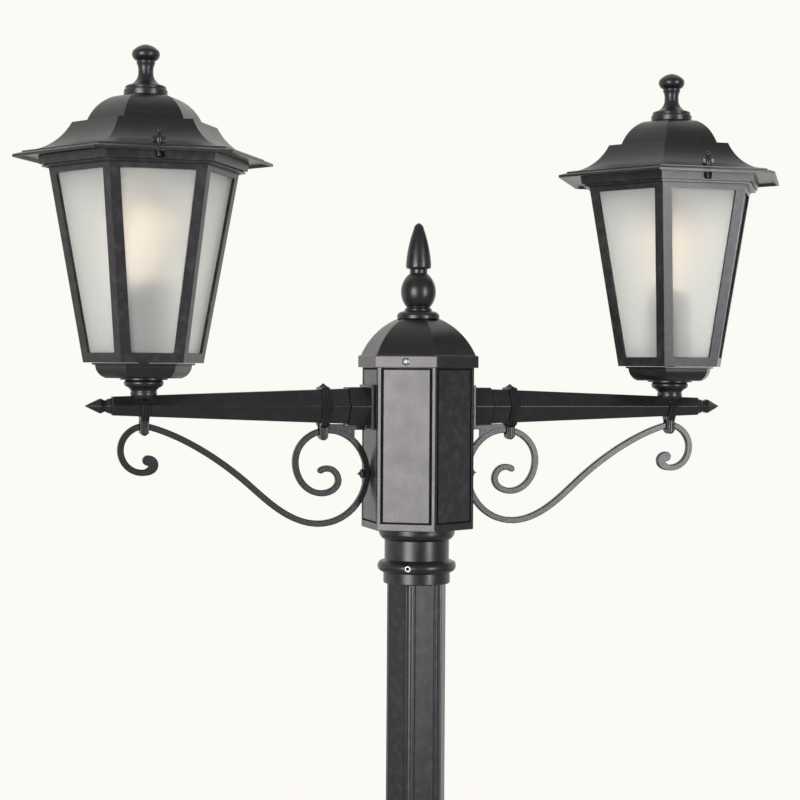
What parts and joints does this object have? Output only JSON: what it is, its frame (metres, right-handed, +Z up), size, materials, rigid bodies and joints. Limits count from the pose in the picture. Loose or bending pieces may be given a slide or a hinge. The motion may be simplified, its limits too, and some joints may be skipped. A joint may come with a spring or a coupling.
{
  "type": "two-arm street lamp post",
  "caption": "Fluted garden street lamp post with a six-sided housing, tapered arms with scroll brackets, and coach lanterns whose hinged roofs open for the lamps.",
  "frame": {"origin": "centre of the ground flange's underside, where the post stands", "axes": "+Z up along the pole, X along the two arms, -Y the front, where the wing screws are"},
  "size_m": [0.8198, 0.23, 2.1998],
  "materials": {
    "pole": "black powder coat, fine texture",
    "base_flange": "black powder coat, fine texture",
    "base_cover": "black powder coat, fine texture",
    "neck_collar": "black powder coat, fine texture",
    "set_screw_1": "bright zinc",
    "set_screw_2": "bright zinc",
    "set_screw_3": "bright zinc",
    "housing": "black powder coat, fine texture",
    "housing_cap": "black powder coat, fine texture",
    "cap_screw_front": "bright zinc",
    "cap_screw_rear": "bright zinc",
    "spear_finial": "black powder coat, fine texture",
    "terminal_block": "moulded",
    "left_arm": "black powder coat, fine texture",
    "left_arm_socket": "black powder coat, fine texture",
    "left_arm_tip": "black powder coat, fine texture",
    "left_scroll": "black powder coat, fine texture",
    "left_scroll_bolt": "black powder coat, fine texture",
    "left_inner_clip": "black powder coat, fine texture",
    "left_outer_clip": "black powder coat, fine texture",
    "left_stem": "black powder coat, fine texture",
    "left_lantern_cup": "black powder coat, fine texture",
    "left_lantern_frame": "black powder coat, fine texture",
    "left_pane_1": "frosted",
    "left_pane_2": "frosted",
    "left_pane_3": "frosted",
    "left_pane_4": "frosted",
    "left_pane_5": "frosted",
    "left_pane_6": "frosted",
    "left_lamp_holder": "moulded",
    "left_hinge_pin": "bright zinc",
    "left_lead": "sheathed lead",
    "right_arm": "black powder coat, fine texture",
    "right_arm_socket": "black powder coat, fine texture",
    "right_arm_tip": "black powder coat, fine texture",
    "right_scroll": "black powder coat, fine texture",
    "right_scroll_bolt": "black powder coat, fine texture",
    "right_inner_clip": "black powder coat, fine texture",
    "right_outer_clip": "black powder coat, fine texture",
    "right_stem": "black powder coat, fine texture",
    "right_lantern_cup": "black powder coat, fine texture",
    "right_lantern_frame": "black powder coat, fine texture",
    "right_pane_1": "frosted",
    "right_pane_2": "frosted",
    "right_pane_3": "frosted",
    "right_pane_4": "frosted",
    "right_pane_5": "frosted",
    "right_pane_6": "frosted",
    "right_lamp_holder": "moulded",
    "right_hinge_pin": "bright zinc",
    "right_lead": "sheathed lead",
    "left_roof": "black powder coat, fine texture",
    "left_roof_knob": "black powder coat, fine texture",
    "left_wing_screw": "black powder coat, fine texture",
    "left_bulb": "opal lamp envelope",
    "right_roof": "black powder coat, fine texture",
    "right_roof_knob": "black powder coat, fine texture",
    "right_wing_screw": "black powder coat, fine texture",
    "right_bulb": "opal lamp envelope"
  },
  "bodies": {
    "post": {"pole": "pole", "base_flange": "base_flange", "base_cover": "base_cover"},
    "head": {"neck_collar": "neck_collar", "set_screw_1": "set_screw_1", "set_screw_2": "set_screw_2", "set_screw_3": "set_screw_3", "housing": "housing", "housing_cap": "housing_cap", "cap_screw_front": "cap_screw_front", "cap_screw_rear": "cap_screw_rear", "spear_finial": "spear_finial", "terminal_block": "terminal_block", "left_arm": "left_arm", "left_arm_socket": "left_arm_socket", "left_arm_tip": "left_arm_tip", "left_scroll": "left_scroll", "left_scroll_bolt": "left_scroll_bolt", "left_inner_clip": "left_inner_clip", "left_outer_clip": "left_outer_clip", "left_stem": "left_stem", "left_lantern_cup": "left_lantern_cup", "left_lantern_frame": "left_lantern_frame", "left_pane_1": "left_pane_1", "left_pane_2": "left_pane_2", "left_pane_3": "left_pane_3", "left_pane_4": "left_pane_4", "left_pane_5": "left_pane_5", "left_pane_6": "left_pane_6", "left_lamp_holder": "left_lamp_holder", "left_hinge_pin": "left_hinge_pin", "left_lead": "left_lead", "right_arm": "right_arm", "right_arm_socket": "right_arm_socket", "right_arm_tip": "right_arm_tip", "right_scroll": "right_scroll", "right_scroll_bolt": "right_scroll_bolt", "right_inner_clip": "right_inner_clip", "right_outer_clip": "right_outer_clip", "right_stem": "right_stem", "right_lantern_cup": "right_lantern_cup", "right_lantern_frame": "right_lantern_frame", "right_pane_1": "right_pane_1", "right_pane_2": "right_pane_2", "right_pane_3": "right_pane_3", "right_pane_4": "right_pane_4", "right_pane_5": "right_pane_5", "right_pane_6": "right_pane_6", "right_lamp_holder": "right_lamp_holder", "right_hinge_pin": "right_hinge_pin", "right_lead": "right_lead"},
    "left_roof": {"left_roof": "left_roof", "left_roof_knob": "left_roof_knob"},
    "left_wing_screw": {"left_wing_screw": "left_wing_screw"},
    "left_lamp": {"left_bulb": "left_bulb"},
    "right_roof": {"right_roof": "right_roof", "right_roof_knob": "right_roof_knob"},
    "right_wing_screw": {"right_wing_screw": "right_wing_screw"},
    "right_lamp": {"right_bulb": "right_bulb"}
  },
  "joints": [
    {"name": "head_swivel", "type": "hinge", "parent": "post", "child": "head", "pos_m": [0, 0, 1.6825], "axis": [0, 0, 1], "range_deg": [-180, 180]},
    {"name": "left_roof_hinge", "type": "hinge", "parent": "head", "child": "left_roof", "pos_m": [-0.2815, 0.095, 2.0825], "axis": [-1, 0, 0], "range_deg": [0, 95]},
    {"name": "left_wing_screw_turn", "type": "hinge", "parent": "left_roof", "child": "left_wing_screw", "pos_m": [-0.2833, -0.0926, 2.093], "axis": [0, 0, 1], "continuous": true},
    {"name": "left_lamp_turn", "type": "hinge", "parent": "head", "child": "left_lamp", "pos_m": [-0.2815, 0, 1.95], "axis": [0, 0, 1], "continuous": true},
    {"name": "right_roof_hinge", "type": "hinge", "parent": "head", "child": "right_roof", "pos_m": [0.2815, 0.095, 2.0825], "axis": [-1, 0, 0], "range_deg": [0, 95]},
    {"name": "right_wing_screw_turn", "type": "hinge", "parent": "right_roof", "child": "right_wing_screw", "pos_m": [0.2797, -0.0926, 2.093], "axis": [0, 0, 1], "continuous": true},
    {"name": "right_lamp_turn", "type": "hinge", "parent": "head", "child": "right_lamp", "pos_m": [0.2815, 0, 1.95], "axis": [0, 0, 1], "continuous": true}
  ]
}
